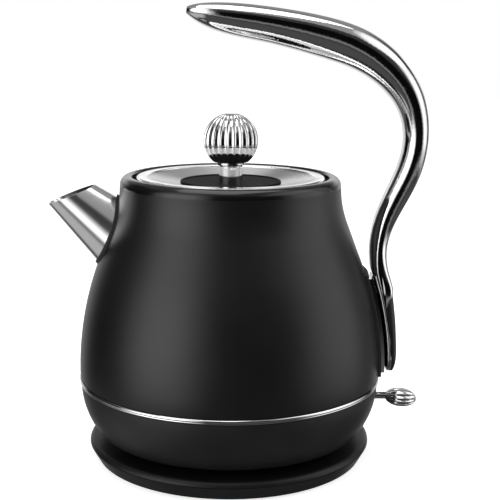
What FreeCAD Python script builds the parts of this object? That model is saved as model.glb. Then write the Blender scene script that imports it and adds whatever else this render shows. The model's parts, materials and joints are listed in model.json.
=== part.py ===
"""Electric kettle with a lift-off lid and a round power base, as a parametric FreeCAD document.

Millimetres, +Z up. The origin is the centre of the power base on the worktop. The spout points to -X,
the handle and the switch are on the +X side.
"""
import FreeCAD, Part
import math
import os
from types import SimpleNamespace

import Sketcher

doc = FreeCAD.newDocument("electric_kettle")
Vector = FreeCAD.Vector


# ---------------------------------------------------------------- sizes and expressions
class Dim:
    """A size: its number now, and the expression that ties it to the sheet."""

    def __init__(self, value, text):
        self.value, self.text = value, text

    def __add__(self, other):
        other = dim(other)
        return Dim(self.value + other.value, f"({self.text} + {other.text})")

    def __sub__(self, other):
        other = dim(other)
        return Dim(self.value - other.value, f"({self.text} - {other.text})")

    def __mul__(self, other):
        other = dim(other)
        return Dim(self.value * other.value, f"({self.text} * {other.text})")

    def __truediv__(self, other):
        other = dim(other)
        return Dim(self.value / other.value, f"({self.text} / {other.text})")

    def __radd__(self, other):
        return dim(other) + self

    def __rsub__(self, other):
        return dim(other) - self

    def __rmul__(self, other):
        return dim(other) * self

    def __neg__(self):
        return 0 - self


def dim(number):
    return number if isinstance(number, Dim) else Dim(number, f"({number})")


def root(number):
    return Dim(math.sqrt(number.value), f"sqrt({number.text})")


def sine(angle):
    return Dim(math.sin(math.radians(angle.value)), f"sin({angle.text})")


def cosine(angle):
    return Dim(math.cos(math.radians(angle.value)), f"cos({angle.text})")


SIZES = {
    # power base
    "base_step": 4.7, "base_height": 11.0, "base_edge": 3.0, "seam_gap": 0.25, "cover_round": 2.7,
    "tray_underside": 1.2, "tray_taper": 3.8, "tray_wall": 1.8, "tray_floor": 2.2, "sink_edge": 1.0,
    "foot_inset": 9.0, "foot_width": 5.0, "foot_height": 2.4,
    "seat_width": 6.0, "seat_height": 2.0, "seat_inset": 1.0, "mouth_lip": 1.4, "mouth_lip_rise": 1.2,
    "post_radius": 12.0, "post_rise": 11.0, "post_bore": 4.2, "post_room": 4.0, "post_flange_width": 3.0,
    "post_floor_wall": 2.0, "post_bore_floor": 0.5, "post_top_wall": 1.0,
    "groove_inset": 2.8, "groove_width": 2.2, "ring_wall": 0.6, "ring_lap": 0.1, "line_drop": 3.0,
    "earth_rise": 1.0, "earth_height": 3.0,
    "pin_radius": 1.8, "pin_drop": 2.0, "pin_flange": 4.0, "pin_flange_height": 1.0, "pin_point": 0.8,
    "base_screw_inset": 20.0, "base_boss": 3.6, "boss_lap": 0.5, "boss_room": 0.1, "screw_radius": 1.3,
    "screw_head": 2.8, "screw_head_height": 1.1, "screw_room": 0.2, "screw_blind": 0.6,
    "gland_width": 10.0, "gland_dip": 0.8, "gland_wall": 1.1, "gland_depth": 5.0, "gland_inset": 0.4,
    "block_length": 18.0, "block_width": 10.0, "block_inset": 9.2, "block_headroom": 1.3,
    # kettle body
    "kettle_gap": 0.3, "body_radius": 79.5, "body_height": 107.0, "belly_rise": 4.4, "wall_run": 20.3,
    "belly_share": 0.753, "neck_depth": 4.8, "shoulder_round": 4.5, "lip_flat": 0.7,
    "mouth_radius": 51.1, "lip_round": 1.2, "lip_depth": 8.0, "sheet_wall": 0.8,
    "hem_step": 2.1, "hem_depth": 6.7, "hem_rise": 1.5,
    "ring_proud": 0.5, "ring_depth": 2.2, "ring_groove": 0.4, "bead_edge": 0.55, "bead_crease": 0.35,
    "crease_drop": 0.3, "low_bead_round": 0.6, "high_bead_round": 1.0,
    "housing_step": 0.5, "housing_height": 28.0, "housing_bend": 40.5, "housing_wall": 2.2,
    "foot_rise": 1.7, "housing_corner": 3.0, "foot_lip": 3.4, "flange_rise": 1.4, "flange_depth": 4.0,
    "flange_width": 7.0, "cover_room": 0.3, "cover_wall": 2.0, "fit_room": 0.1,
    "housing_screw_inset": 3.5, "screw_hole_top": 1.0, "screw_tip": 1.5,
    # heater and control
    "plate_wall": 1.0, "plate_skirt": 2.7, "spreader_rim": 10.0, "spreader_depth": 2.5,
    "element_circle": 32.0, "element_radius": 3.3, "element_arc": 300.0, "lead_length": 7.0,
    "lead_radius": 1.6, "lead_turn": 3.0, "socket_wall": 5.8, "socket_room": 0.6, "socket_roof": 2.0,
    "socket_flange_width": 4.0, "contact_wall": 0.6, "contact_room": 0.5, "contact_reach": 8.0,
    "contact_offset": 0.2, "control_rim": 3.0, "disc_radius": 8.5, "disc_wall": 0.5, "disc_room": 2.0,
    "disc_headroom": 3.4, "tube_inset": 7.5, "tube_setback": 13.0, "tube_radius": 4.0, "tube_wall": 0.8,
    "tube_headroom": 2.0,
    # switch
    "pivot_inset": 16.0, "lever_drop": 12.6, "pivot_radius": 1.2, "pivot_room": 0.05, "hub_radius": 3.0,
    "hub_width": 8.4, "cheek_width": 4.6, "cheek_room": 0.3, "unit_nose": 6.5, "unit_tail": 6.0,
    "unit_head": 12.5, "unit_depth": 8.4, "channel_depth": 5.8, "channel_wall": 1.5, "unit_rise": 4.1,
    "inlet_rise": 0.6, "inlet_depth": 4.0, "lever_radius": 1.9, "lever_stub": 6.0, "slot_room": 0.45,
    "switch_travel": 12.0, "paddle_length": 17.2, "paddle_width": 17.0, "paddle_depth": 9.0,
    "paddle_drop": 1.0, "paddle_flute": 0.75, "paddle_lap": 1.0, "paddle_socket": 3.0, "paddle_lean": 94.0,
    # spout
    "spout_drop": 28.5, "spout_root_radius": 16.6, "spout_taper": 10.4, "spout_slope": 39.8,
    "spout_length": 27.5, "spout_back_room": 1.6, "mouth_slope": 21.5, "spout_wall": 0.7,
    "seal_wall": 1.1, "seal_depth": 1.3, "strainer_inset": 2.0, "strainer_wall": 0.6,
    "strainer_hole": 1.25, "strainer_rim": 2.5,
    # handle
    "gasket_wall": 1.6, "bracket_wall": 1.6, "gasket_width": 30.0, "bracket_width": 27.0,
    "root_drop": 51.3, "sole_rise": 4.6, "gasket_margin": 1.2, "gasket_foot": 2.2, "bracket_margin": 2.0,
    "shell_wall": 2.2, "insert_gap": 0.2, "foot_screw_low": 0.164, "foot_screw_high": 0.478,
    "handle_screw_seat": 4.2, "handle_screw_head": 2.5, "handle_head_height": 0.9, "handle_screw_tip": 0.4,
    # lid
    "lid_room": 1.9, "rim_width": 6.2, "rim_drop": 0.3, "rim_round": 1.4, "rim_depth": 3.0,
    "rim_step": 0.6, "dish_width": 16.8, "dish_fall": 3.2, "dish_wall": 0.8, "lid_disc_wall": 1.4,
    "disc_lip": 0.5, "disc_round": 0.4, "disc_lip_width": 1.2, "disc_lip_slope": 0.8,
    "plug_room": 4.6, "plug_wall": 1.6, "plug_depth": 12.0, "seal_room": 0.4, "seal_height": 3.0,
    "seal_rise": 3.5, "seal_groove": 2.0, "seal_low_edge": 1.2, "seal_high_edge": 2.1,
    "stem_radius": 6.2, "stem_rise": 5.4, "collar_radius": 7.4, "collar_height": 1.6,
    "collar_low_edge": 0.4, "collar_high_edge": 0.5, "knob_radius": 14.2, "knob_flat": 3.2,
    "knob_flute": 0.9, "knob_screw_radius": 1.6, "knob_screw_head": 4.0, "knob_head_height": 2.0,
    "knob_screw_grip": 7.0, "knob_bore_room": 0.5,
}
FLUTES_ON_KNOB = 26
FLUTES_ON_PADDLE = 16
PADDLE_LATITUDES = (-76, -56, -36, -14, 8, 30, 52, 76)
KNOB_LATITUDES = (-32, -14, 4, 22, 40, 58, 78)
SCREWS_ROUND = 3
FOOT_TURN = 30
STRAINER_RINGS = 3


def size_sheet():
    sheet = doc.addObject("Spreadsheet::Sheet", "Sizes")
    for row, (alias, number) in enumerate(SIZES.items(), start=1):
        sheet.set(f"A{row}", alias)
        sheet.set(f"B{row}", str(number))
        sheet.setAlias(f"B{row}", alias)
    doc.recompute()
    return sheet


sizes = size_sheet()
at = SimpleNamespace(**{alias: Dim(sizes.get(alias), f"Sizes.{alias}") for alias in SIZES})
derived = doc.addObject("App::VarSet", "Derived")


def derive(name, amount):
    """A value worked out from the sheet, held under its own name."""
    derived.addProperty("App::PropertyFloat", name, "Derived")
    derived.setExpression(name, amount.text)
    return Dim(amount.value, f"Derived.{name}")


def tie(**amounts):
    """Sizes that follow from others, held beside the sheet's own."""
    for name, amount in amounts.items():
        setattr(at, name, derive(name, amount))


# ---------------------------------------------------------------- heights that follow from others
tie(seat_top=at.base_height + at.seat_height)
tie(kettle_bottom=at.seat_top + at.kettle_gap)
tie(base_seam=at.base_height - at.base_edge)
tie(post_height=at.base_height + at.post_rise)
tie(pin_top=at.post_height - at.pin_drop)
tie(housing_foot=at.kettle_bottom + at.foot_rise)
tie(flange_height=at.housing_foot + at.flange_rise)
tie(flange_top=at.flange_height + at.flange_depth)
tie(ring_height=at.housing_foot + at.housing_height)
tie(ring_bottom=at.ring_height - at.ring_depth / 2)
tie(ring_top=at.ring_height + at.ring_depth / 2)
tie(housing_top=at.ring_bottom - at.ring_groove)
tie(hem_bottom=at.ring_height - at.hem_depth)
tie(hem_top=at.ring_height + at.hem_rise)
tie(belly_height=at.ring_height + at.belly_rise)
tie(body_top=at.ring_height + at.body_height)
tie(neck_height=at.body_top - at.neck_depth)
tie(plate_height=at.hem_bottom + at.plate_skirt)
tie(lever_height=at.ring_height - at.lever_drop)
tie(unit_floor=at.lever_height - at.unit_depth)
tie(channel_floor=at.lever_height - at.channel_depth)
tie(inlet_top=at.lever_height + at.inlet_rise)
tie(unit_top=at.lever_height + at.unit_rise)
tie(spout_height=at.body_top - at.spout_drop)
tie(handle_root=at.body_top - at.root_drop)
tie(handle_sole=at.ring_height + at.sole_rise)
tie(gasket_bottom=at.handle_sole - at.gasket_foot)
tie(gasket_top=at.handle_root + at.gasket_margin)
tie(foot_span=at.handle_root - at.handle_sole)
tie(handle_screw_low=at.handle_sole + at.foot_span * at.foot_screw_low)
tie(handle_screw_high=at.handle_sole + at.foot_span * at.foot_screw_high)
tie(plug_bottom=at.body_top - at.plug_depth)
tie(tube_top=at.plug_bottom - at.tube_headroom)
tie(stem_top=at.body_top + at.stem_rise)
tie(collar_top=at.stem_top + at.collar_height)
tie(knob_centre=at.collar_top + at.knob_radius - at.knob_flat)

# ---------------------------------------------------------------- radii and places that follow from others
tie(neck_radius=at.mouth_radius + at.lip_round + at.lip_flat + at.shoulder_round)
tie(hem_radius=at.body_radius - at.hem_step)
tie(ring_radius=at.body_radius + at.ring_proud)
tie(housing_radius=at.body_radius - at.housing_step)
tie(housing_centre=at.housing_radius - at.housing_bend)
tie(base_radius=at.body_radius - at.base_step)
tie(tray_radius=at.base_radius - at.tray_taper)
tie(foot_radius=at.tray_radius - at.foot_inset)
tie(base_screw_circle=at.foot_radius - at.base_screw_inset)
tie(block_end=at.tray_radius - at.tray_wall - at.block_inset)
tie(post_mouth=at.post_radius + at.post_room)
tie(post_flange=at.post_mouth + at.post_flange_width)
tie(groove_radius=at.post_radius - at.groove_inset)
tie(socket_bore=at.post_radius + at.ring_wall + at.socket_room)
tie(socket_radius=at.socket_bore + at.socket_wall)
tie(socket_flange=at.socket_radius + at.socket_flange_width)
tie(control_radius=at.socket_radius + at.control_rim)
tie(contact_bore=at.pin_radius + at.contact_room)
tie(disc_offset=at.disc_radius + at.disc_room)
tie(spreader_radius=at.element_circle + at.spreader_rim)
tie(pivot_place=at.housing_radius - at.pivot_inset)
tie(unit_end=at.pivot_place + at.unit_nose)
tie(tube_foot=at.pivot_place - at.tube_setback)
tie(unit_start=at.tube_foot - at.unit_tail)
tie(tube_head=at.neck_radius - at.tube_inset)
tie(rim_radius=at.mouth_radius - at.lid_room)
tie(rim_inner=at.rim_radius - at.rim_width)
tie(disc_edge=at.rim_inner - at.dish_width)
tie(plug_radius=at.mouth_radius - at.plug_room)
tie(seal_radius=at.mouth_radius - at.seal_room)
tie(spout_back=at.spout_root_radius + at.spout_back_room)
tie(spout_front=at.spout_root_radius + at.spout_length)


# ---------------------------------------------------------------- modelling helpers
LEFT, RIGHT = 1, -1
parts = []


def bind(thing, **amounts):
    for name, amount in amounts.items():
        thing.setExpression(name.replace("__", "."), dim(amount).text)


def place(thing, x=0, y=0, z=0, axis=None, angle=0):
    if axis:
        thing.Placement = FreeCAD.Placement(Vector(), FreeCAD.Rotation(Vector(*axis), 1.0))
        bind(thing, Placement__Rotation__Angle=angle)
    bind(thing, Placement__Base__x=x, Placement__Base__y=y, Placement__Base__z=z)
    return thing


def part(thing, label):
    thing.Label = label
    parts.append(thing)
    return thing


def arc_between(start, end, radius, side):
    """The short arc from start to end that curves to the given side."""
    middle = (start + end) * 0.5
    half = (end - start) * 0.5
    across = Vector(-half.y, half.x, 0).normalize()
    to_centre = math.sqrt(max(radius ** 2 - half.Length ** 2, 0.0))
    centre = middle + across * (side * to_centre)
    bulge = centre - across * (side * radius)
    return Part.Arc(start, bulge, end)


def pin_corner(sketch, edge, end, corner):
    for kind, amount in zip(("DistanceX", "DistanceY"), corner):
        amount = dim(amount)
        constraint = sketch.addConstraint(Sketcher.Constraint(kind, -1, 1, edge, end, amount.value))
        if "." in amount.text and any(name in amount.text for name in ("Sizes", "Derived")):
            sketch.setExpression(f"Constraints[{constraint}]", amount.text)


def draw(sketch, outline):
    """A closed outline of (x, y) corners. (x, y, radius, side) starts an arc to the next corner."""
    corners = [Vector(dim(corner[0]).value, dim(corner[1]).value, 0) for corner in outline]
    ends = []
    for index, corner in enumerate(outline):
        start, end = corners[index], corners[(index + 1) % len(corners)]
        if len(corner) == 4:
            edge = sketch.addGeometry(arc_between(start, end, dim(corner[2]).value, corner[3]))
            ends.append((edge, 1, 2) if corner[3] == LEFT else (edge, 2, 1))
            radius = sketch.addConstraint(Sketcher.Constraint("Radius", edge, dim(corner[2]).value))
            sketch.setExpression(f"Constraints[{radius}]", dim(corner[2]).text)
        else:
            ends.append((sketch.addGeometry(Part.LineSegment(start, end)), 1, 2))
    for index, corner in enumerate(outline):
        edge, start_end, _ = ends[index]
        before, _, far_end = ends[index - 1]
        sketch.addConstraint(Sketcher.Constraint("Coincident", before, far_end, edge, start_end))
        pin_corner(sketch, edge, start_end, corner[:2])


def sketch_in(body, role="XZ_Plane"):
    plane = next(feature for feature in body.Origin.OriginFeatures if feature.Role == role)
    sketch = body.newObject("Sketcher::SketchObject", f"{body.Name}_sketch")
    sketch.AttachmentSupport = (plane, [""])
    sketch.MapMode = "FlatFace"
    return sketch


def turned(name, outline):
    """A PartDesign body revolved round the Z axis from an outline of (radius, height) corners."""
    body = doc.addObject("PartDesign::Body", name)
    sketch = sketch_in(body)
    draw(sketch, outline)
    revolution = body.newObject("PartDesign::Revolution", f"{name}_revolution")
    revolution.Profile = sketch
    revolution.ReferenceAxis = (sketch, ["V_Axis"])
    revolution.Angle = 360
    return body


def washer(name, inner, outer, bottom, top):
    return turned(name, [(inner, bottom), (outer, bottom), (outer, top), (inner, top)])


def rod(name, radius, height, x=0, y=0, z=0, axis=None, angle=0):
    cylinder = doc.addObject("Part::Cylinder", name)
    bind(cylinder, Radius=radius, Height=height)
    return place(cylinder, x, y, z, axis, angle)


def block(name, x, y, z):
    """A box from its (low, high) pairs."""
    box = doc.addObject("Part::Box", name)
    bind(box, Length=x[1] - x[0], Width=y[1] - y[0], Height=z[1] - z[0])
    return place(box, x[0], y[0], z[0])


def featured(name, shape):
    feature = doc.addObject("Part::Feature", name)
    feature.Shape = shape
    return feature


def cut(name, base, *tools):
    result = doc.addObject("Part::Cut", name)
    result.Base = base
    result.Tool = tools[0] if len(tools) == 1 else fused(f"{name}_tools", *tools)
    return result


def fused(name, *pieces):
    result = doc.addObject("Part::MultiFuse", name)
    result.Shapes = list(pieces)
    return result


def common(name, *pieces):
    result = doc.addObject("Part::MultiCommon", name)
    result.Shapes = list(pieces)
    return result


def grouped(name, pieces):
    result = doc.addObject("Part::Compound", name)
    result.Links = pieces
    return result


def around(circle, count, turn=0):
    """Places spread evenly on a circle, as (x, y) pairs."""
    for index in range(count):
        angle = dim(turn + 360.0 * index / count)
        yield circle * cosine(angle), circle * sine(angle)


def screws(name, circle, head_face, grip, turn):
    """Round-headed screws pointing up, the head under head_face and the shank above it."""
    group = []
    for index, (x, y) in enumerate(around(circle, SCREWS_ROUND, turn)):
        head = rod(f"{name}_head{index}", at.screw_head, at.screw_head_height, x, y,
                   head_face - at.screw_head_height)
        shank = rod(f"{name}_shank{index}", at.screw_radius, grip, x, y, head_face)
        group.append(fused(f"{name}_{index}", head, shank))
    return grouped(name, group)


def screw_holes(name, circle, bottom, top, radius, turn):
    return [rod(f"{name}_{index}", radius, top - bottom, x, y, bottom)
            for index, (x, y) in enumerate(around(circle, SCREWS_ROUND, turn))]


# ---------------------------------------------------------------- the body's S-shaped wall
# The wall runs up the belly arc, along a straight lean, and up the neck arc to a vertical neck.
wall_rise = at.neck_height - at.belly_height
half_lean = derive("half_lean", (at.body_radius - at.neck_radius) / (wall_rise + at.wall_run))
lean_sine = derive("lean_sine", 2 * half_lean / (1 + half_lean * half_lean))
lean_cosine = derive("lean_cosine", (1 - half_lean * half_lean) / (1 + half_lean * half_lean))
both_bends = derive("both_bends", (wall_rise - at.wall_run * lean_cosine) / lean_sine)
belly_bend = derive("belly_bend", both_bends * at.belly_share)
neck_bend = derive("neck_bend", both_bends - belly_bend)
lean_high = derive("lean_high", at.neck_height - neck_bend * lean_sine)


def belly_wall(height):
    """The wall's outer radius at a height on the belly arc."""
    drop = height - at.belly_height
    return at.body_radius - belly_bend + root(belly_bend * belly_bend - drop * drop)


def wall_number(height):
    """The wall's outer radius at a height, as a number."""
    bend, other = belly_bend.value, neck_bend.value
    drop, under = height - at.belly_height.value, at.neck_height.value - height
    if drop <= bend * lean_sine.value:
        return at.body_radius.value - bend + math.sqrt(bend ** 2 - drop ** 2)
    if under <= other * lean_sine.value:
        return at.neck_radius.value + other - math.sqrt(other ** 2 - max(under, 0) ** 2)
    return lean_wall(dim(height)).value


def lean_wall(height):
    """The wall's outer radius at a height on the straight lean."""
    top = at.neck_radius + neck_bend * (1 - lean_cosine)
    return top + (lean_high - height) * (lean_sine / lean_cosine)


def wall_upwards(offset):
    """Corners of the wall from the belly to the neck, moved outwards by offset."""
    outside = belly_bend + offset
    inside = neck_bend - offset
    low = (at.body_radius + offset - outside * (1 - lean_cosine), at.belly_height + outside * lean_sine)
    high = (at.neck_radius + offset + inside * (1 - lean_cosine), at.neck_height - inside * lean_sine)
    return [(at.body_radius + offset, at.belly_height, outside, LEFT), low,
            (*high, inside, RIGHT), (at.neck_radius + offset, at.neck_height)]


def wall_downwards(offset):
    start, low, high, end = wall_upwards(offset)
    return [(*end, high[2], LEFT), high[:2], (*low, start[2], RIGHT), start[:2]]


def envelope(name, offset):
    """The solid of everything inside the body's outer wall, grown by offset."""
    low = at.hem_bottom
    return turned(name, [(0, low), (at.body_radius + offset, low), *wall_upwards(offset),
                         (at.neck_radius + offset, at.body_top), (0, at.body_top)])


shoulder = at.body_top - at.shoulder_round


def body_shell():
    wall = at.sheet_wall
    step_in = at.body_radius - at.seam_gap
    turn_down = at.shoulder_round - wall
    return turned("body_shell_sheet", [
        (at.hem_radius - wall, at.hem_bottom), (at.hem_radius, at.hem_bottom), (at.hem_radius, at.hem_top),
        (step_in, at.hem_top),
        *wall_upwards(0),
        (at.neck_radius, shoulder, at.shoulder_round, LEFT),
        (at.neck_radius - at.shoulder_round, at.body_top),
        (at.mouth_radius + at.lip_round, at.body_top, at.lip_round, LEFT),
        (at.mouth_radius, at.body_top - at.lip_round),
        (at.mouth_radius, at.body_top - at.lip_depth),
        (at.mouth_radius + wall, at.body_top - at.lip_depth),
        (at.mouth_radius + wall, at.body_top - wall),
        (at.neck_radius - at.shoulder_round, at.body_top - wall, turn_down, RIGHT),
        (at.neck_radius - wall, shoulder),
        *wall_downwards(-wall),
        (step_in - wall, at.hem_top + wall), (at.hem_radius - wall, at.hem_top + wall),
    ])


# ---------------------------------------------------------------- spout
slope_sine, slope_cosine = sine(at.spout_slope), cosine(at.spout_slope)
taper_tangent = sine(at.spout_taper) / cosine(at.spout_taper)
spout_x = derive("spout_x", -lean_wall(at.spout_height))
upright = derive("spout_turn", at.spout_slope - 90)


def spout_cone(name, grow, back, front):
    """A solid cone on the spout's axis, from back behind the wall to front before it."""
    cone = doc.addObject("Part::Cone", name)
    bind(cone, Radius1=at.spout_root_radius + grow + back * taper_tangent,
         Radius2=at.spout_root_radius + grow - front * taper_tangent, Height=dim(back) + front)
    return place(cone, spout_x + back * slope_cosine, 0, at.spout_height - back * slope_sine,
                 (0, 1, 0), upright)


def spout_parts(shell, outside):
    back, front, spare = at.spout_back, at.spout_front, at.lip_round
    hole = spout_cone("spout_hole", -at.spout_wall, back, back)
    part(cut("body_shell", shell, hole), "body_shell")

    mouth_x = spout_x - at.spout_length * slope_cosine
    mouth_z = at.spout_height + at.spout_length * slope_sine
    above_mouth = rod("above_mouth", 3 * at.spout_root_radius, front, mouth_x, 0, mouth_z,
                      (0, 1, 0), -at.mouth_slope)
    funnel = spout_cone("spout_outside", 0, back, front)
    bore = spout_cone("spout_bore", -at.spout_wall, back + spare, front + spare)
    part(cut("spout", funnel, bore, above_mouth, outside), "spout")

    collar = spout_cone("seal_outside", at.seal_wall, back, front)
    collar_bore = spout_cone("seal_bore", at.fit_room / 2, back + spare, front + spare)
    near_wall = common("seal_near_wall", collar, envelope("seal_envelope", at.seal_depth))
    part(cut("spout_seal", near_wall, collar_bore, outside), "spout_seal")

    inset = at.strainer_inset
    radius = derive("strainer_radius",
                    at.spout_root_radius - at.spout_wall - at.fit_room
                    + (inset - at.strainer_wall) * taper_tangent)
    pitch = derive("strainer_pitch", (radius - at.strainer_hole - at.strainer_rim) / STRAINER_RINGS)
    plate = rod("strainer_plate", radius, at.strainer_wall)
    depth = 3 * at.strainer_wall
    holes = [rod("strainer_hole", at.strainer_hole, depth, 0, 0, -at.strainer_wall)]
    for ring in range(1, STRAINER_RINGS + 1):
        for index, (x, y) in enumerate(around(ring * pitch, 6 * ring)):
            holes.append(rod(f"strainer_hole{ring}_{index}", at.strainer_hole, depth, x, y,
                             -at.strainer_wall))
    strainer = cut("spout_strainer", plate, *holes)
    part(strainer, "spout_strainer")
    place(strainer, spout_x + inset * slope_cosine, 0, at.spout_height - inset * slope_sine,
          (0, 1, 0), upright)


# ---------------------------------------------------------------- kettle bottom
def housing_wall_at(radius, height):
    drop = at.housing_top - height
    return at.housing_centre + root(radius * radius - drop * drop)


corner_height = at.housing_foot + at.housing_corner
corner_arm = at.housing_bend - at.housing_corner
tie(corner_x=housing_wall_at(corner_arm, corner_height))
tie(cover_radius=at.corner_x - at.foot_lip - at.cover_room)
tie(flange_radius=at.cover_radius - at.flange_width)
tie(seat_radius=at.flange_radius - at.seat_inset - at.seat_width / 2)
tie(housing_screw_circle=at.cover_radius - at.housing_screw_inset)


def trim_ring():
    """Two beads, one over the other, with a crease between them."""
    inner = at.hem_radius + at.fit_room / 2
    edge = at.ring_radius - at.bead_edge
    part(turned("trim_ring", [
        (inner, at.ring_bottom), (edge, at.ring_bottom, at.low_bead_round, LEFT),
        (at.ring_radius - at.bead_crease, at.ring_height - at.crease_drop, at.high_bead_round, LEFT),
        (edge, at.ring_top), (inner, at.ring_top)]), "trim_ring")


def lower_housing():
    inside = at.housing_bend - at.housing_wall
    reach = at.housing_bend / corner_arm
    rebate = at.hem_radius + at.fit_room
    ledge = at.hem_bottom - at.fit_room
    opening = at.cover_radius + at.cover_room
    casing = turned("housing_casing", [
        (at.flange_radius, at.flange_height), (opening, at.flange_height), (opening, at.housing_foot),
        (at.corner_x, at.housing_foot, at.housing_corner, LEFT),
        (at.housing_centre + (at.corner_x - at.housing_centre) * reach,
         at.housing_top - (at.housing_top - corner_height) * reach, at.housing_bend, LEFT),
        (at.housing_radius, at.housing_top), (rebate, at.housing_top), (rebate, ledge),
        (housing_wall_at(inside, ledge), ledge, inside, RIGHT),
        (housing_wall_at(inside, at.flange_top), at.flange_top), (at.flange_radius, at.flange_top)])
    travel = at.housing_radius - at.pivot_place
    drop = travel * sine(at.switch_travel) / cosine(at.switch_travel)
    slot_half = at.lever_radius + at.slot_room
    slot = block("lever_slot", (at.unit_end, at.body_radius + at.lever_stub), (-slot_half, slot_half),
                 (at.lever_height - slot_half - drop, at.lever_height + slot_half))
    holes = screw_holes("housing_hole", at.housing_screw_circle, at.flange_height - at.screw_hole_top,
                        at.flange_top - at.screw_hole_top, at.screw_radius + at.fit_room / 2, FOOT_TURN)
    part(cut("lower_housing", casing, slot, *holes), "lower_housing")


def bottom_cover():
    underside = at.flange_height - at.cover_wall
    inner = at.socket_radius + at.fit_room
    rib_in = at.seat_radius - at.seat_width / 2
    rib_out = at.seat_radius + at.seat_width / 2
    disc = turned("cover_disc", [
        (inner, underside), (rib_in, underside), (rib_in, at.kettle_bottom), (rib_out, at.kettle_bottom),
        (rib_out, underside), (at.cover_radius, underside), (at.cover_radius, at.flange_height),
        (inner, at.flange_height)])
    head_face = underside + at.screw_head_height
    low = underside - at.screw_head_height
    holes = screw_holes("cover_hole", at.housing_screw_circle, low, at.flange_height + at.cover_wall,
                        at.screw_radius + at.fit_room, FOOT_TURN)
    sinks = screw_holes("cover_sink", at.housing_screw_circle, low, head_face,
                        at.screw_head + at.screw_room, FOOT_TURN)
    part(cut("bottom_cover", disc, *holes, *sinks), "bottom_cover")
    grip = at.flange_top - at.screw_tip - head_face
    part(screws("housing_screws", at.housing_screw_circle, head_face, grip, FOOT_TURN), "housing_screws")


def steam_rod(name, radius, bottom, top):
    """A solid rod on the steam tube's axis, which leans from the switch to the neck."""
    lean = (at.tube_head - at.tube_foot) / (at.tube_top - at.inlet_top)
    tube_turn = Dim(math.degrees(math.atan(lean.value)), f"atan({lean.text})")
    return rod(name, radius, top - bottom, at.tube_foot + (bottom - at.inlet_top) * lean, 0, bottom,
               (0, 1, 0), tube_turn)


def heater():
    under_plate = at.plate_height
    rim = at.hem_radius - at.sheet_wall - at.fit_room / 2
    plate = turned("plate_disc", [
        (0, under_plate), (rim - at.plate_wall, under_plate), (rim - at.plate_wall, at.hem_bottom),
        (rim, at.hem_bottom), (rim, under_plate + at.plate_wall), (0, under_plate + at.plate_wall)])
    tube_hole = steam_rod("tube_hole", at.tube_radius + at.fit_room / 2, under_plate - at.plate_wall,
                          under_plate + 2 * at.plate_wall)
    part(cut("heating_plate", plate, tube_hole), "heating_plate")

    spreader_bottom = under_plate - at.spreader_depth
    part(washer("heat_spreader", 0, at.spreader_radius, spreader_bottom, under_plate), "heat_spreader")

    element_height = spreader_bottom - at.element_radius
    coil = doc.addObject("Part::Torus", "element_coil")
    bind(coil, Radius1=at.element_circle, Radius2=at.element_radius, Angle3=at.element_arc)
    place(coil, 0, 0, element_height)
    leads = []
    for index, angle in enumerate((at.lead_turn, at.element_arc - at.lead_turn)):
        leads.append(rod(f"element_lead{index}", at.lead_radius, at.lead_length,
                         at.element_circle * cosine(angle), at.element_circle * sine(angle),
                         element_height - at.lead_length))
    element = fused("heating_element", coil, *leads)
    part(element, "heating_element")

    outside = steam_rod("tube_outside", at.tube_radius, at.inlet_top, at.tube_top)
    inside = steam_rod("tube_inside", at.tube_radius - at.tube_wall, at.inlet_top - at.inlet_depth,
                       at.tube_top + at.tube_headroom)
    part(cut("steam_tube", outside, inside), "steam_tube")


def socket_and_control():
    mouth = at.kettle_bottom + at.kettle_gap
    roof = at.post_height + at.socket_room
    top = roof + at.socket_roof
    flange_face = at.flange_height + at.cover_wall
    part(turned("kettle_socket", [
        (0, roof), (at.socket_bore, roof), (at.socket_bore, mouth), (at.socket_radius, mouth),
        (at.socket_radius, at.flange_height), (at.socket_flange, at.flange_height),
        (at.socket_flange, flange_face), (at.socket_radius, flange_face), (at.socket_radius, top),
        (0, top)]), "kettle_socket")
    ring_contact = at.groove_radius + at.contact_offset
    contacts = [
        washer("centre_contact", at.contact_bore, at.contact_bore + at.contact_wall,
               roof - at.contact_reach, roof),
        washer("ring_contact", ring_contact, ring_contact + at.contact_wall, roof - at.contact_reach, roof)]
    part(grouped("socket_contacts", contacts), "socket_contacts")
    disc_face = at.plate_height - at.spreader_depth - at.disc_headroom - at.disc_wall
    part(washer("control_unit", 0, at.control_radius, top, disc_face), "control_unit")
    discs = [rod(f"bimetal_disc{side}", at.disc_radius, at.disc_wall, side * at.disc_offset, 0, disc_face)
             for side in (-1, 1)]
    part(grouped("bimetal_discs", discs), "bimetal_discs")


# ---------------------------------------------------------------- switch
def fluted_solid(length, width, depth, flutes, flute, latitudes):
    """An ellipsoid about Z with concave flutes that run from pole to pole."""
    rings = []
    step = 2 * math.pi / flutes

    def rim_point(radius, height, angle):
        return Vector(radius * math.cos(angle) * depth / 2, radius * math.sin(angle) * width / 2, height)

    for latitude in latitudes:
        ring = math.cos(math.radians(latitude))
        height = math.sin(math.radians(latitude)) * length / 2
        valley = ring * (1 - min(2 * flute / width, step / 4))
        edges = []
        for index in range(flutes):
            start, middle, end = (index * step, (index + 0.5) * step, (index + 1) * step)
            arc = Part.Arc(rim_point(ring, height, start), rim_point(valley, height, middle),
                           rim_point(ring, height, end))
            edges.append(arc.toShape())
        rings.append(Part.Wire(edges))
    return Part.makeLoft(rings, True, False)


def cross_rod(name, radius, length):
    """A rod along Y, centred on the switch's pivot."""
    return rod(name, radius, length, at.pivot_place, length / 2, at.lever_height, (1, 0, 0), 90)


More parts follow.
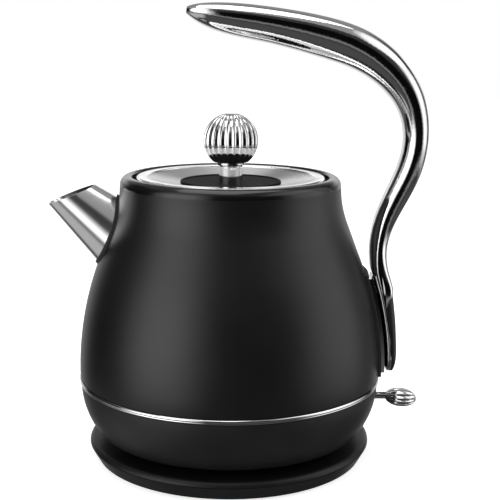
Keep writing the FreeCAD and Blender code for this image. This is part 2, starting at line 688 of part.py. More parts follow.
def switch_parts():
    cheek = at.hub_width / 2 + at.cheek_room
    side = cheek + at.cheek_width
    inlet = at.unit_end - at.unit_head
    low = block("inlet_block", (at.unit_start, inlet), (-side, side), (at.unit_floor, at.inlet_top))
    high = block("pivot_block", (inlet, at.unit_end), (-side, side), (at.unit_floor, at.unit_top))
    channel = block("lever_channel", (inlet + at.channel_wall, at.unit_end + at.channel_wall),
                    (-cheek, cheek), (at.channel_floor, at.unit_top + at.channel_wall))
    pin_hole = cross_rod("pin_hole", at.pivot_radius, 3 * side)
    steam_way = steam_rod("steam_way", at.tube_radius - at.tube_wall, at.inlet_top - at.inlet_depth,
                          at.inlet_top + at.inlet_depth)
    tube_seat = steam_rod("tube_seat", at.tube_radius + at.fit_room, at.inlet_top,
                          at.inlet_top + at.inlet_depth)
    body = fused("switch_block", low, high)
    part(cut("steam_switch", body, channel, pin_hole, steam_way, tube_seat), "steam_switch")
    part(cross_rod("switch_pin", at.pivot_radius, 2 * side), "switch_pin")

    hub = cross_rod("lever_hub", at.hub_radius, at.hub_width)
    reach = at.housing_radius + at.lever_stub - at.pivot_place
    arm = rod("lever_arm", at.lever_radius, reach, at.pivot_place, 0, at.lever_height, (0, 1, 0), 90)
    bore = cross_rod("lever_bore", at.pivot_radius + at.pivot_room, 2 * at.hub_width)
    solid = fused("lever_solid", hub, arm)
    part(cut("switch_lever", solid, bore), "switch_lever")

    flutes = featured("paddle_flutes", fluted_solid(
        sizes.paddle_length, sizes.paddle_width, sizes.paddle_depth, FLUTES_ON_PADDLE, sizes.paddle_flute,
        PADDLE_LATITUDES))
    start = at.housing_radius + at.lever_stub - at.paddle_lap
    place(flutes, start + at.paddle_length / 2, 0, at.lever_height - at.paddle_drop, (0, 1, 0),
          at.paddle_lean)
    socket = rod("paddle_socket", at.lever_radius + at.fit_room / 4, at.paddle_socket + at.paddle_lap,
                 start - at.paddle_socket, 0, at.lever_height, (0, 1, 0), 90)
    part(cut("switch_paddle", flutes, socket), "switch_paddle")


# ---------------------------------------------------------------- handle
# Stations along the handle: outer x, outer height, inner x, inner height, where the seam lies between
# them, width. x is measured from the body's wall. A height is measured from the body's top on the upper
# stations, and on the lower ones it is a share of the way from the handle's sole to its root.
UPPER_STATIONS = {
    "tip": (-93.8, 85.6, -94.3, 82.0, 0.45, 8),
    "nose": (-88.8, 87.0, -89.3, 78.2, 0.36, 16),
    "front": (-79.7, 87.7, -80.8, 74.2, 0.33, 21),
    "palm": (-49.4, 85.6, -52.3, 67.6, 0.33, 24),
    "heel": (-23.3, 81.2, -28.8, 61.5, 0.33, 25),
    "bend_in": (-2.3, 74.4, -12.3, 56.3, 0.38, 25),
    "bend": (16.7, 60.3, 1.2, 49.0, 0.45, 24),
    "bend_out": (27.5, 43.0, 12.5, 37.5, 0.5, 22),
    "back": (31.1, 22.0, 17.7, 22.0, 0.5, 20),
    "slope": (26.9, -1.0, 14.8, 4.5, 0.5, 18),
    "waist": (15.7, -23.7, 5.0, -19.2, 0.5, 17),
    "ankle": (11.4, -38.0, 1.8, -36.5, 0.5, 18),
}
LOWER_STATIONS = {
    "root": (12.6, 1.0, 3.3, 1.0, 0.5, 21),
    "shin": (11.0, 0.732, 3.3, 0.732, 0.64, 23),
    "calf": (10.6, 0.595, 3.3, 0.595, 0.64, 23),
    "foot_top": (10.0, 0.438, 3.3, 0.438, 0.6, 24),
    "foot": (9.5, 0.243, 3.3, 0.243, 0.56, 24),
    "foot_low": (8.4, 0.047, 3.3, 0.047, 0.5, 23),
    "sole": (7.4, 0.0, 3.3, 0.0, 0.45, 21),
}
INSERT_TOP = (11.4, 0.795, 1.8, 0.568, 0.55, 22)
INSERT_ROWS = ("calf", "foot_top", "foot", "foot_low", "sole")
GRIP_CURVE, FOOT_CURVE = 2.2, 3.6


def station(row, wall, height, curve):
    """A cross-section: its outer, inner and seam points in the handle's plane, and its width."""
    outer = Vector(wall(height(row[1])) + row[0], 0, height(row[1]))
    inner = Vector(wall(height(row[3])) + row[2], 0, height(row[3]))
    seam = outer + (inner - outer) * row[4]
    return SimpleNamespace(outer=outer, inner=inner, seam=seam, half=row[5] / 2, curve=curve)


def handle_stations():
    def from_top(rise):
        return at.body_top.value + rise

    def up_foot(share):
        return at.handle_sole.value + at.foot_span.value * share

    root_wall = wall_number(at.handle_root.value)
    table = {name: station(row, lambda _: root_wall, from_top, GRIP_CURVE)
             for name, row in UPPER_STATIONS.items()}
    for name, row in LOWER_STATIONS.items():
        table[name] = station(row, wall_number, up_foot, FOOT_CURVE)
    table["insert_top"] = station(INSERT_TOP, wall_number, up_foot, FOOT_CURVE)
    return table


def half_section(here, edge, inset=0.0, overlap=0.0):
    """A D-shaped wire from the seam to one edge point of a station, its round side a superellipse."""
    reach = edge - here.seam
    outward = Vector(reach.x, reach.y, reach.z).normalize()
    wall = min(inset, reach.Length * 0.45)
    depth = reach.Length - wall
    half = here.half - wall
    base = here.seam - outward * overlap
    points = []
    for angle in range(0, 181, 15):
        across = math.cos(math.radians(angle))
        away = max(math.sin(math.radians(angle)), 0.0)
        y = half * math.copysign(abs(across) ** (2 / here.curve), across)
        points.append(base + outward * ((depth + overlap) * away ** (2 / here.curve)) + Vector(0, y, 0))
    round_side = Part.BSplineCurve()
    round_side.interpolate(points)
    return Part.Wire([round_side.toShape(), Part.LineSegment(points[-1], points[0]).toShape()])


def handle_loft(stations, side, inset=0.0, overlap=0.0):
    wires = [half_section(here, getattr(here, side), inset, overlap) for here in stations]
    return Part.makeLoft(wires, True, False)


def handle_shells(foot_zone, bores):
    """The grip's two chrome half-shells, which share a seam, and the black insert at the foot."""
    table = handle_stations()
    upper = [table[name] for name in UPPER_STATIONS]
    hollow = upper[1:]
    inner_rows = upper + [table[name] for name in LOWER_STATIONS]
    outer_rows = upper + [table["root"], table["insert_top"]]
    inner_solid = handle_loft(inner_rows, "inner")
    outer_solid = handle_loft(outer_rows, "outer").cut(inner_solid)
    cavity = {side: handle_loft(hollow, side, sizes.shell_wall, 1.0) for side in ("outer", "inner")}
    outer = featured("outer_loft", outer_solid.cut(cavity["outer"]))
    inner = featured("inner_loft", inner_solid.cut(cavity["inner"]))
    insert_top = table["insert_top"]
    along = (insert_top.outer - insert_top.seam).normalize()
    gap = Vector(along.z, 0, -along.x) * sizes.insert_gap
    shifted = SimpleNamespace(**vars(insert_top))
    shifted.outer, shifted.seam = insert_top.outer + gap, insert_top.seam + gap
    insert_rows = [shifted] + [table[row] for row in INSERT_ROWS]
    insert = featured("handle_insert", handle_loft(insert_rows, "outer", overlap=-sizes.fit_room / 2))
    part(outer, "handle_outer_shell")
    part(cut("handle_inner_shell", inner, foot_zone, *bores), "handle_inner_shell")
    part(insert, "handle_insert")


def handle_parts(outside):
    low, high = at.gasket_bottom, at.gasket_top
    start, end = at.neck_radius, at.body_radius + at.spout_wall + at.unit_head
    stack = at.gasket_wall + at.bracket_wall
    gasket_slab = block("gasket_slab", (start, end), (-at.gasket_width / 2, at.gasket_width / 2), (low, high))
    gasket_zone = envelope("gasket_envelope", at.gasket_wall)
    part(cut("handle_gasket", common("gasket_skin", gasket_slab, gasket_zone), outside), "handle_gasket")
    bracket_slab = block("bracket_slab", (start, end), (-at.bracket_width / 2, at.bracket_width / 2),
                         (low + at.bracket_margin, high - at.bracket_margin))
    bracket_skin = common("bracket_skin", bracket_slab, envelope("bracket_envelope", stack))
    bracket_holes, shell_bores, group = [], [], []
    for name, height in (("low", at.handle_screw_low), ("high", at.handle_screw_high)):
        wall = derive(f"screw_wall_{name}", belly_wall(height))
        seat = wall + at.handle_screw_seat
        sideways = (0, 1, 0), 90
        bracket_holes.append(rod(f"bracket_hole_{name}", at.screw_radius, 2 * stack, wall, 0, height,
                                 *sideways))
        shell_bores.append(rod(f"shell_hole_{name}", at.screw_radius + at.fit_room, 2 * at.unit_head,
                               wall, 0, height, *sideways))
        shell_bores.append(rod(f"shell_sink_{name}", at.handle_screw_head + at.screw_room, at.unit_head,
                               seat, 0, height, *sideways))
        tip = wall + at.gasket_wall + at.handle_screw_tip
        shank = rod(f"handle_shank_{name}", at.screw_radius, seat - tip, tip, 0, height, *sideways)
        head = rod(f"handle_head_{name}", at.handle_screw_head, at.handle_head_height, seat, 0, height,
                   *sideways)
        group.append(fused(f"handle_screw_{name}", shank, head))
    part(cut("handle_bracket", bracket_skin, gasket_zone, *bracket_holes), "handle_bracket")
    part(grouped("handle_screws", group), "handle_screws")
    handle_shells(envelope("foot_envelope", stack + at.fit_room / 2), shell_bores)


# ---------------------------------------------------------------- lid
rim_top = at.body_top - at.rim_drop
rim_floor = rim_top - at.rim_depth
dish_top = rim_top - at.rim_step
dish_low = dish_top - at.dish_fall
plug_top = dish_low - at.dish_wall
screw_face = plug_top - at.knob_head_height
knob_bore = at.knob_screw_radius + at.fit_room / 2


def lid_parts():
    part(turned("lid_rim", [
        (at.rim_inner, rim_floor), (at.rim_radius, rim_floor),
        (at.rim_radius, rim_top - at.rim_round, at.rim_round, LEFT),
        (at.rim_radius - at.rim_round, rim_top), (at.rim_inner + at.rim_step, rim_top, at.rim_step, LEFT),
        (at.rim_inner, dish_top)]), "lid_rim")
    part(turned("lid_dish", [
        (at.stem_radius, plug_top), (at.disc_edge, plug_top), (at.rim_inner, dish_top - at.dish_wall),
        (at.rim_inner, dish_top), (at.disc_edge, dish_low), (at.stem_radius, dish_low)]), "lid_dish")
    disc_top = dish_low + at.lid_disc_wall
    lip_in = at.disc_edge - at.disc_lip_width
    part(turned("lid_disc", [
        (at.stem_radius, dish_low), (at.disc_edge, dish_low),
        (at.disc_edge, disc_top - at.disc_round, at.disc_round, LEFT),
        (at.disc_edge - at.disc_round, disc_top), (lip_in, disc_top),
        (lip_in - at.disc_lip_slope, disc_top - at.disc_lip), (at.stem_radius, disc_top - at.disc_lip)]),
        "lid_disc")
    plug_and_seal()
    part(washer("knob_stem", knob_bore, at.stem_radius, plug_top, at.stem_top), "knob_stem")
    low_edge, high_edge = at.collar_low_edge, at.collar_high_edge
    part(turned("knob_collar", [
        (knob_bore, at.stem_top), (at.collar_radius - low_edge, at.stem_top),
        (at.collar_radius, at.stem_top + low_edge), (at.collar_radius, at.collar_top - high_edge),
        (at.collar_radius - high_edge, at.collar_top), (knob_bore, at.collar_top)]), "knob_collar")
    knob_and_screw()


def plug_and_seal():
    seal_top = at.plug_bottom + at.seal_rise
    seal_low = seal_top - at.seal_height
    groove = at.plug_radius - at.seal_groove
    inside, groove_in = at.plug_radius - at.plug_wall, groove - at.plug_wall
    hub, floor = at.stem_radius + at.plug_wall, at.plug_bottom + at.plug_wall
    pocket = at.screw_radius + at.knob_screw_head
    hole = at.knob_screw_radius + at.fit_room
    part(turned("lid_plug", [
        (pocket, at.plug_bottom), (at.plug_radius, at.plug_bottom), (at.plug_radius, seal_low),
        (groove, seal_low), (groove, seal_top), (at.plug_radius, seal_top), (at.plug_radius, rim_floor),
        (inside, rim_floor), (inside, seal_top + at.plug_wall), (groove_in, seal_top), (groove_in, floor),
        (hub, floor), (hub, plug_top), (hole, plug_top), (hole, screw_face), (pocket, screw_face)]),
        "lid_plug")
    part(turned("lid_seal", [
        (groove, seal_low), (at.plug_radius, seal_low), (at.seal_radius, seal_low + at.seal_low_edge),
        (at.seal_radius, seal_low + at.seal_high_edge), (at.plug_radius, seal_top), (groove, seal_top)]),
        "lid_seal")


def knob_and_screw():
    low = math.degrees(math.asin((at.collar_top.value - at.knob_centre.value) / sizes.knob_radius))
    latitudes = (low, *KNOB_LATITUDES)
    width = 2 * sizes.knob_radius
    flutes = featured("knob_flutes", fluted_solid(width, width, width, FLUTES_ON_KNOB, sizes.knob_flute,
                                                  latitudes))
    place(flutes, 0, 0, at.knob_centre)
    hole = rod("knob_hole", knob_bore, at.knob_screw_grip + 2 * at.knob_bore_room, 0, 0,
               at.collar_top - at.knob_bore_room)
    part(cut("knob", flutes, hole), "knob")
    head = rod("knob_screw_cap", at.knob_screw_head, at.knob_head_height, 0, 0,
               screw_face - at.knob_head_height)
    shank = rod("knob_screw_shank", at.knob_screw_radius, at.collar_top + at.knob_screw_grip - screw_face,
                0, 0, screw_face)
    part(fused("knob_screw", head, shank), "knob_screw")


# ---------------------------------------------------------------- power base
floor_top = at.tray_underside + at.tray_floor
cover_under = at.base_height - at.tray_wall
post_floor = cover_under - at.post_floor_wall
BASE_TURN = 30


def base_parts():
    ring_in, ring_out = at.foot_radius - at.foot_width / 2, at.foot_radius + at.foot_width / 2
    tray = turned("tray_shell", [
        (0, at.tray_underside), (ring_in, at.tray_underside), (ring_in, at.foot_height),
        (ring_out, at.foot_height), (ring_out, at.tray_underside), (at.tray_radius, at.tray_underside),
        (at.base_radius, at.base_seam), (at.base_radius - at.tray_wall, at.base_seam),
        (at.tray_radius - at.tray_wall, floor_top), (0, floor_top)])
    head_face = at.tray_underside + at.screw_head_height + at.fit_room
    circle = at.base_screw_circle
    holes = screw_holes("tray_hole", circle, 0, floor_top + at.sink_edge, at.screw_radius + at.screw_room,
                        BASE_TURN)
    sinks = screw_holes("tray_sink", circle, 0, head_face, at.screw_head + at.screw_room, BASE_TURN)
    gland_z = (floor_top - at.gland_dip, at.base_seam + at.fit_room)
    wall_end = at.base_radius + at.gland_wall
    gland_start = at.base_radius - at.gland_depth
    half = at.gland_width / 2
    gate = block("gland_gate", (-half, half), (gland_start, wall_end), gland_z)
    part(cut("base_tray", tray, *holes, *sinks, gate), "base_tray")
    grip = cover_under - head_face - at.screw_blind
    part(screws("base_screws", circle, head_face, grip, BASE_TURN), "base_screws")
    part(washer("foot_ring", ring_in, ring_out, 0, at.foot_height), "foot_ring")

    wall, inset = at.gland_wall, at.fit_room / 2
    gland = block("gland_body", (inset - half, half - inset),
                  (gland_start + at.gland_inset, at.base_radius - at.gland_inset),
                  (gland_z[0] + inset, gland_z[1] - inset))
    passage = block("gland_passage", (wall - half, half - wall), (gland_start - wall, wall_end),
                    (gland_z[0] + wall, gland_z[1] - wall))
    part(cut("cord_gland", gland, passage), "cord_gland")
    part(block("terminal_block", (-at.block_length / 2, at.block_length / 2),
               (at.block_end - at.block_width, at.block_end),
               (floor_top, cover_under - at.block_headroom)), "terminal_block")
    base_cover()


def base_cover():
    seam = at.base_seam + at.seam_gap
    seat_in, seat_out = at.seat_radius - at.seat_width / 2, at.seat_radius + at.seat_width / 2
    mouth, lip = at.post_mouth, at.base_height + at.mouth_lip_rise
    edge_in = at.base_radius - at.tray_wall
    skin = turned("cover_skin", [
        (at.base_radius, seam), (at.base_radius, at.base_height - at.cover_round, at.cover_round, LEFT),
        (at.base_radius - at.cover_round, at.base_height), (seat_out + at.seat_inset, at.base_height),
        (seat_out, at.seat_top), (seat_in, at.seat_top), (seat_in - at.seat_inset, at.base_height),
        (mouth + 2 * at.mouth_lip_rise, at.base_height), (mouth + at.mouth_lip, lip), (mouth, lip),
        (mouth, cover_under), (edge_in, cover_under), (edge_in, seam)])
    circle = at.base_screw_circle
    bosses = screw_holes("cover_boss", circle, floor_top + at.boss_room, cover_under + at.boss_lap,
                         at.base_boss, BASE_TURN)
    holes = screw_holes("boss_bore", circle, floor_top - at.boss_lap, cover_under - at.screw_room,
                        at.screw_radius + at.fit_room / 2, BASE_TURN)
    part(cut("base_cover", fused("cover_with_bosses", skin, *bosses), *holes), "base_cover")


def connector():
    groove_in = at.groove_radius - at.groove_width / 2
    groove_out = at.groove_radius + at.groove_width / 2
    groove_floor = at.base_height - at.post_top_wall
    inner_top = at.post_height - at.post_top_wall
    bore_floor = post_floor + at.post_bore_floor
    part(turned("base_connector", [
        (0, post_floor), (at.post_flange, post_floor), (at.post_flange, cover_under),
        (at.post_radius, cover_under), (at.post_radius, at.post_height), (groove_out, at.post_height),
        (groove_out, groove_floor), (groove_in, groove_floor), (groove_in, inner_top),
        (at.post_bore, inner_top), (at.post_bore, bore_floor), (0, bore_floor)]), "base_connector")
    line_in = groove_in + at.ring_lap
    earth_low = at.base_height + at.earth_rise
    rings = [
        washer("line_ring", line_in, line_in + at.ring_wall, groove_floor, at.post_height - at.line_drop),
        washer("earth_ring", at.post_radius, at.post_radius + at.ring_wall, earth_low,
               earth_low + at.earth_height)]
    part(grouped("contact_rings", rings), "contact_rings")
    flange = bore_floor + at.fit_room
    flange_face = flange + at.pin_flange_height
    part(turned("centre_pin", [
        (0, flange), (at.pin_flange, flange), (at.pin_flange, flange_face), (at.pin_radius, flange_face),
        (at.pin_radius, at.pin_top - at.pin_point), (at.pin_radius - at.pin_point, at.pin_top),
        (0, at.pin_top)]), "centre_pin")


# ---------------------------------------------------------------- build, check and write
def build():
    outside = envelope("body_envelope", 0)
    spout_parts(body_shell(), outside)
    trim_ring()
    lower_housing()
    bottom_cover()
    heater()
    socket_and_control()
    switch_parts()
    handle_parts(outside)
    lid_parts()
    base_parts()
    connector()
    doc.recompute()


def check():
    for thing in doc.Objects:
        if {"Invalid", "Error"} & set(thing.State):
            raise RuntimeError(f"{thing.Label}: {thing.State}")
    for thing in parts:
        if thing.Shape.isNull() or not thing.Shape.isValid() or not thing.Shape.Solids:
            raise RuntimeError(f"{thing.Label}: bad shape")


def write():
    os.makedirs("parts", exist_ok=True)
    for thing in parts:
        thing.Shape.exportStep(f"parts/{thing.Label}.step")
        print(f"{thing.Label}: {thing.Shape.Volume / 1000:.2f} cm3")
    print(len(parts), "sub-parts")


build()
check()
write()
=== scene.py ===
import json
import math

import bpy
from mathutils import Matrix, Vector

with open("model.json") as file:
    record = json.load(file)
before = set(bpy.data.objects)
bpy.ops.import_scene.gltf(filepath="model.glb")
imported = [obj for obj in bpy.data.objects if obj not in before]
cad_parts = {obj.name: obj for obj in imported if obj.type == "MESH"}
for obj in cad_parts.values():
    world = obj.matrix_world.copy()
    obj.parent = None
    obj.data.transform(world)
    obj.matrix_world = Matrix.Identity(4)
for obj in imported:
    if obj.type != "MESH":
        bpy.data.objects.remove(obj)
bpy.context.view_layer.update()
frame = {"nodes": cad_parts, "record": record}
nodes = frame["nodes"]
scene = bpy.context.scene
print("frame loaded:", len(nodes), "nodes")


# a shader socket that adds Math nodes when it is used in an expression
class Wire:
    def __init__(self, shader, socket):
        self.shader, self.socket = shader, socket

    def maths(self, operation, *others):
        return self.shader.node("ShaderNodeMath", {"operation": operation}, self, *others)

    def __add__(self, other):
        return self.maths("ADD", other)

    def __sub__(self, other):
        return self.maths("SUBTRACT", other)

    def __mul__(self, other):
        return self.maths("MULTIPLY", other)

    def __truediv__(self, other):
        return self.maths("DIVIDE", other)

    def __rsub__(self, other):
        return self.shader.node("ShaderNodeMath", {"operation": "SUBTRACT"}, other, self)

    __radd__, __rmul__ = __add__, __mul__

    def above(self, edge, width):        # 0 below the edge, 1 above it, soft over the width
        ramp = (self - edge) / width + 0.5
        return ramp.maths("MINIMUM", 1.0).maths("MAXIMUM", 0.0)

    def between(self, low, high, width):
        return self.above(low, width) * (1 - self.above(high, width))

    def about(self, spread):             # a noise of 0 to 1 turned into a change to both sides of zero
        return (self - 0.5) * spread


class Shader:
    def __init__(self, name, world=None):
        self.material = None if world else bpy.data.materials.new(name)
        owner = world or self.material
        owner.use_nodes = True
        self.nodes, self.links = owner.node_tree.nodes, owner.node_tree.links
        self.nodes.clear()
        self.output = self.nodes.new("ShaderNodeOutputWorld" if world else "ShaderNodeOutputMaterial")

    # one node of any type: its settings first, then the values or links of its sockets
    def node(self, kind, settings=None, *values, out=0, **named):
        made = self.nodes.new(kind)
        for name, value in (settings or {}).items():
            setattr(made, name, value)
        sockets = [(made.inputs[place], value) for place, value in enumerate(values)]
        sockets += [(made.inputs[name.replace("_", " ")], value) for name, value in named.items()]
        for socket, value in sockets:
            if isinstance(value, Wire):
                self.links.new(value.socket, socket)
            elif value is not None:
                socket.default_value = (*value, 1.0) if socket.type == "RGBA" else value
        return Wire(self, made.outputs[out])

    def place(self):                     # the Object output of Texture Coordinate
        return self.node("ShaderNodeTexCoord", out=3)

    def along(self, axis):
        return self.node("ShaderNodeSeparateXYZ", None, self.place(), out=axis)

    def radius(self):
        x, y = self.along(0), self.along(1)
        return (x * x + y * y).maths("SQRT")

    def noise(self, scale, detail=3.0, stretch=(1, 1, 1), rough=0.5):
        where = self.node("ShaderNodeMapping", None, self.place(), Scale=stretch)
        return self.node("ShaderNodeTexNoise", None, Vector=where, Scale=scale, Detail=detail,
                         Roughness=rough)

    def rings(self, radius, density, detail):
        return self.node("ShaderNodeTexNoise", {"noise_dimensions": "1D"}, W=radius * density, Detail=detail)

    def mix(self, mask, low, high):      # the colour mix has five sockets between its factor and its colours
        gap = [None] * 5
        return self.node("ShaderNodeMix", {"data_type": "RGBA"}, mask, *gap, low, high, out=2)

    def bump(self, height, strength, distance):
        return self.node("ShaderNodeBump", None, Height=height, Strength=strength, Distance=distance)

    def coat(self, **values):
        return self.node("ShaderNodeBsdfPrincipled", None, **values)

    def show(self, surface):
        self.links.new(surface.socket, self.output.inputs[0])
        return self.material


enamel = {
    "dark": (0.0028, 0.0028, 0.003), "light": (0.0055, 0.0055, 0.006), "roughness": 0.37, "unevenness": 0.05,
    "cloud": 55.0, "grain": 2600.0, "peel": 420.0, "relief": (0.035, 0.0004),
    "lip": (0.1452, 0.0012), "lipGloss": 0.19,                # height and softness of the glossier lip
    "bareTop": (0.1462, 0.0006), "facing": (-0.002, 0.002),   # under this and facing inwards: bare steel
    "bareDark": (0.46, 0.46, 0.45), "bareLight": (0.62, 0.62, 0.61), "bareGrain": 90.0, "bareRoughness": 0.3,
}


def blackEnamel():
    s = Shader("blackEnamel")
    cloud = s.noise(enamel["cloud"], 4.0)
    grain = s.noise(enamel["grain"], 2.0)
    peel = s.noise(enamel["peel"], 2.0)
    x, y, z = s.along(0), s.along(1), s.along(2)
    facing = s.node("ShaderNodeVectorTransform", {"vector_type": "NORMAL", "convert_from": "WORLD",
                                                  "convert_to": "OBJECT"},
                    s.node("ShaderNodeNewGeometry", out=1))
    outward = s.node("ShaderNodeVectorMath", {"operation": "DOT_PRODUCT"}, facing,
                     s.node("ShaderNodeCombineXYZ", None, x, y, 0.0), out=1)
    inside = (1 - outward.above(*enamel["facing"])) * (1 - z.above(*enamel["bareTop"]))
    paint = s.mix(cloud, enamel["dark"], enamel["light"])
    bare = s.mix(s.noise(enamel["bareGrain"], 3.0, (1, 1, 12)), enamel["bareDark"], enamel["bareLight"])
    gloss = z.above(*enamel["lip"]) * enamel["lipGloss"]
    painted = enamel["roughness"] + cloud.about(enamel["unevenness"]) - gloss
    rough = painted * (1 - inside) + enamel["bareRoughness"] * inside
    relief = s.bump(peel + grain * 0.4, *enamel["relief"])
    return s.show(s.coat(Base_Color=s.mix(inside, paint, bare), Roughness=rough, Metallic=inside,
                         Normal=relief))


moulded = {"dark": (0.0045, 0.0045, 0.005), "light": (0.009, 0.009, 0.0095), "cloud": 70.0, "grain": 1700.0,
           "unevenness": (0.08, 0.05), "relief": (0.06, 0.0002)}


def mouldedBlack(name, roughness=0.42, specular=0.5):
    s = Shader(name)
    cloud, grain = s.noise(moulded["cloud"], 3.0), s.noise(moulded["grain"], 2.0)
    cloudy, grainy = moulded["unevenness"]
    return s.show(s.coat(Base_Color=s.mix(cloud, moulded["dark"], moulded["light"]),
                         Roughness=roughness + cloud.about(cloudy) + grain.about(grainy),
                         Specular_IOR_Level=specular, Normal=s.bump(grain, *moulded["relief"])))


chrome = {"dark": (0.80, 0.80, 0.81), "light": (0.88, 0.88, 0.885), "smear": 28.0, "smeared": 0.03,
          "haze": 240.0, "hazed": 0.012, "relief": (0.012, 0.0002)}


def polishedChrome(name="polishedChrome", roughness=0.065):
    s = Shader(name)
    smear = s.noise(chrome["smear"], 5.0, (1, 1, 2), 0.6)
    haze = s.noise(chrome["haze"], 2.0)
    return s.show(s.coat(Base_Color=s.mix(smear, chrome["dark"], chrome["light"]), Metallic=1.0,
                         Roughness=roughness + smear * chrome["smeared"] + haze * chrome["hazed"],
                         Normal=s.bump(haze, *chrome["relief"])))


spun = {"dark": (0.50, 0.50, 0.495), "light": (0.70, 0.70, 0.69), "lines": 5200.0, "broadLines": 676.0,
        "roughness": 0.34, "unevenness": 0.12, "stretch": 0.9, "turn": 0.25, "relief": (0.3, 0.0001)}


def spunSteel():                         # fine turned rings, with the gloss drawn out across them
    s = Shader("spunSteel")
    around = s.radius()
    fine, broad = s.rings(around, spun["lines"], 2.0), s.rings(around, spun["broadLines"], 1.0)
    tone = s.mix(fine * 0.6 + broad * 0.4, spun["dark"], spun["light"])
    return s.show(s.coat(Base_Color=tone, Metallic=1.0,
                         Roughness=spun["roughness"] + fine.about(spun["unevenness"]),
                         Anisotropic=spun["stretch"], Anisotropic_Rotation=spun["turn"],
                         Normal=s.bump(fine, *spun["relief"])))


rubber = {"dark": (0.009, 0.009, 0.0095), "light": (0.018, 0.018, 0.019), "roughness": 0.72}
silicone = {"dark": (0.55, 0.55, 0.53), "light": (0.70, 0.70, 0.68), "roughness": 0.45}
skin = {"cloud": 120.0, "grain": 2200.0, "unevenness": 0.14, "relief": (0.14, 0.0002)}


def softRubber(name, look):
    s = Shader(name)
    cloud, grain = s.noise(skin["cloud"], 3.0), s.noise(skin["grain"], 3.0)
    return s.show(s.coat(Base_Color=s.mix(cloud, look["dark"], look["light"]),
                         Roughness=look["roughness"] + grain.about(skin["unevenness"]),
                         Normal=s.bump(grain, *skin["relief"])))


castMetal = {"cloud": 60.0, "grain": 1400.0, "unevenness": (0.10, 0.12), "relief": (0.1, 0.0001)}


def plainMetal(name, dark, light, roughness):
    s = Shader(name)
    cloud, grain = s.noise(castMetal["cloud"], 4.0), s.noise(castMetal["grain"], 2.0)
    cloudy, grainy = castMetal["unevenness"]
    return s.show(s.coat(Base_Color=s.mix(cloud * 0.7 + grain * 0.3, dark, light), Metallic=1.0,
                         Roughness=roughness + grain.about(grainy) + cloud.about(cloudy),
                         Normal=s.bump(grain, *castMetal["relief"])))


ivory = {"dark": (0.60, 0.57, 0.49), "light": (0.72, 0.69, 0.61), "cloud": 90.0, "grain": 1900.0,
         "roughness": 0.5, "unevenness": 0.1, "relief": (0.08, 0.0002)}


def ivoryPlastic():
    s = Shader("ivoryPlastic")
    cloud, grain = s.noise(ivory["cloud"], 3.0), s.noise(ivory["grain"], 2.0)
    return s.show(s.coat(Base_Color=s.mix(cloud, ivory["dark"], ivory["light"]),
                         Roughness=ivory["roughness"] + grain.about(ivory["unevenness"]),
                         Normal=s.bump(grain, *ivory["relief"])))


slotFinish = {
    "black_coat": blackEnamel(),
    "black_plastic": mouldedBlack("satinBlack"),
    "chrome_plate": polishedChrome(),
    "satin_steel": spunSteel(),
    "black_rubber": softRubber("softRubber", rubber),
    "clear_silicone": softRubber("paleSilicone", silicone),
    "heater_aluminium": plainMetal("heaterAluminium", (0.55, 0.55, 0.56), (0.72, 0.72, 0.73), 0.38),
    "contact_brass": plainMetal("contactBrass", (0.60, 0.42, 0.17), (0.76, 0.56, 0.27), 0.3),
    "control_plastic": ivoryPlastic(),
    "zinc_steel": plainMetal("zincSteel", (0.42, 0.43, 0.44), (0.62, 0.63, 0.65), 0.34),
}
pieceFinish = {                          # pieces with a gloss of their own
    "lid_rim": polishedChrome("satinRim", 0.14), "spout": polishedChrome("softChrome", 0.14),
    "lid_disc": mouldedBlack("mattBlack", 0.62, 0.06), "base_cover": mouldedBlack("baseBlack", 0.40, 0.3),
}
shading = {"join": 1e-6, "crease": 24}   # metres, degrees


def smoothCad(piece):                    # joined for shading only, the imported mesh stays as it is
    piece.data.shade_smooth()
    piece.modifiers.new("weld", "WELD").merge_threshold = shading["join"]
    split = piece.modifiers.new("creases", "EDGE_SPLIT")
    split.split_angle, split.use_edge_sharp = math.radians(shading["crease"]), False


for entry in frame["record"]["subparts"]:
    name, mesh = entry["node"], nodes[entry["node"]].data
    mesh.materials.clear()
    mesh.materials.append(pieceFinish.get(name, slotFinish[entry["material_slot"]]))
    smoothCad(nodes[name])
print("finishes set:", len(slotFinish), "by slot and", len(pieceFinish), "by piece")


floorLook = {"half": 3.0, "tone": 0.80, "change": 0.02, "cloud": 6.0, "roughness": 0.9, "glow": 0.75}


def buildFloor():
    bpy.ops.object.select_all(action="DESELECT")
    bpy.ops.mesh.primitive_plane_add(size=2 * floorLook["half"], location=(0, 0, 0))
    floor = bpy.context.object
    floor.name = "studioFloor"
    s = Shader("palePaper")
    low, high = floorLook["tone"], floorLook["tone"] + floorLook["change"]
    tone = s.mix(s.noise(floorLook["cloud"], 2.0), (low, low, low), (high, high, high))
    glow = s.coat(Base_Color=tone, Roughness=floorLook["roughness"], Emission_Color=(1, 1, 1),
                  Emission_Strength=floorLook["glow"])
    floor.data.materials.append(s.show(glow))
    floor.visible_glossy = False          # the kettle's underside mirrors the dark studio, not the paper


flag = {"place": (-0.02, 0.20, 0.342), "wide": 0.42, "tall": 0.16, "cloud": 3.0, "glow": 0.28}


def buildFlag():                         # a grey card behind the handle that only its mirror finish sees
    bpy.ops.mesh.primitive_plane_add(size=1, location=flag["place"], rotation=(math.radians(90), 0, 0))
    card = bpy.context.object
    card.name, card.scale = "greyFlag", (flag["wide"], flag["tall"], 1)
    s = Shader("greyCard")
    tone = s.mix(s.noise(flag["cloud"], 2.0), (0.96, 0.96, 0.96), (1, 1, 1))
    card.data.materials.append(s.show(s.node("ShaderNodeEmission", None, tone, flag["glow"])))
    card.visible_camera = card.visible_diffuse = card.visible_shadow = card.visible_transmission = False


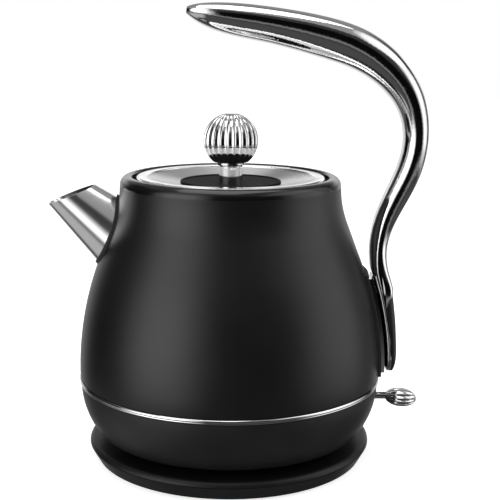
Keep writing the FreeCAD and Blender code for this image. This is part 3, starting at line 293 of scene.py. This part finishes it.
# the studio around the kettle: x is right, y away from the camera and z up, each as a part of a direction
dimmest = 0.003
backdrop = {                             # lowest and highest z, softness, level
    "low": (-1.10, 0.14, 0.08, 0.80),
    "middle": (0.14, 0.30, 0.06, 1.25),
    "high": (0.30, 1.10, 0.06, 0.30),
}
backdropEdge = (0.76, 0.22)              # y where the backdrop starts, softness
tiers = {                                # lowest and highest z, softness, level
    "frontAbove": (0.16, 0.72, 0.16, 0.04),
    "overhead": (0.60, 1.10, 0.12, 0.30),
    "frontBelow": (-0.40, -0.30, 0.08, 0.22),
    "under": (-1.10, -0.42, 0.20, 0.07),
}
tiersEdge = (0.72, 0.30)                 # y where the tiers end, softness
boxes = {                                # range of x and of z, softness, level
    "aboveRight": (0.46, 1.10, 0.52, 0.95, 0.12, 1.05),
    "belowLeft": (-0.95, -0.55, -0.78, -0.46, 0.10, 0.48),
}
boxesEdge = (0.45, 0.30)                 # y where the boxes end, softness
bands = {                                # azimuth from the camera, half width, softness (radians), level
    "left": (-0.92, 0.42, 0.40, 2.3),
    "right": (1.52, 0.44, 0.40, 1.3),
}
bandsTop, bandsFoot = (0.62, 0.50), (-0.28, 0.20)          # z where the bands end, softness


def buildWorld():
    world = bpy.data.worlds.new("studioWorld")
    scene.world = world
    s = Shader("studioWorld", world)
    towards = s.node("ShaderNodeTexCoord", out=0)
    x, y, z = (s.node("ShaderNodeSeparateXYZ", None, towards, out=axis) for axis in (0, 1, 2))
    azimuth = x.maths("ARCTAN2", 0 - y)
    level = dimmest
    for low, high, soft, strength in backdrop.values():
        level = z.between(low, high, soft) * y.above(*backdropEdge) * strength + level
    for low, high, soft, strength in tiers.values():
        level = level.maths("MAXIMUM", z.between(low, high, soft) * (1 - y.above(*tiersEdge)) * strength)
    for left, right, low, high, soft, strength in boxes.values():
        box = x.between(left, right, soft) * z.between(low, high, soft) * (1 - y.above(*boxesEdge))
        level = level.maths("MAXIMUM", box * strength)
    reach = (1 - z.above(*bandsTop)) * z.above(*bandsFoot)
    for centre, half, soft, strength in bands.values():
        level = level + azimuth.between(centre - half, centre + half, soft) * reach * strength
    seen = s.node("ShaderNodeLightPath", out=0)                # the camera sees plain white
    s.show(s.node("ShaderNodeBackground", None, (1, 1, 1), seen + (1 - seen) * level))


topBox = {"place": (-0.10, 0.05, 1.30), "aim": (0, 0, 0.11), "wide": 1.3, "deep": 1.0, "power": 9.0}


def buildTopBox():
    place = Vector(topBox["place"])
    bpy.ops.object.light_add(type="AREA", location=place)
    lamp = bpy.context.object
    lamp.name = "topBox"
    lamp.data.shape, lamp.data.energy = "RECTANGLE", topBox["power"]
    lamp.data.size, lamp.data.size_y = topBox["wide"], topBox["deep"]
    lamp.rotation_euler = (Vector(topBox["aim"]) - place).to_track_quat("-Z", "Y").to_euler()


view = {"place": (0.0, -0.5797, 0.2258), "down": 0.1967, "aside": 0.0179, "roll": 0.0090, "lens": 80.7}


def buildCamera():
    down, aside, roll = view["down"], view["aside"], view["roll"]
    ahead = Vector((math.sin(aside) * math.cos(down), math.cos(aside) * math.cos(down), -math.sin(down)))
    right = Vector((math.cos(aside), -math.sin(aside), 0))
    up = right.cross(ahead)
    across = right * math.cos(roll) + up * math.sin(roll)
    over = up * math.cos(roll) - right * math.sin(roll)
    bpy.ops.object.camera_add()
    camera = bpy.context.object
    camera.name = "studioCamera"
    camera.data.lens, camera.data.sensor_width = view["lens"], 36.0
    camera.data.clip_start = 0.01
    turn = Matrix((across, over, -ahead)).transposed().to_4x4()
    camera.matrix_world = Matrix.Translation(view["place"]) @ turn
    scene.camera = camera


buildFloor()
buildFlag()
buildWorld()
buildTopBox()
buildCamera()
scene.view_settings.view_transform = "Standard"
print("studio built")
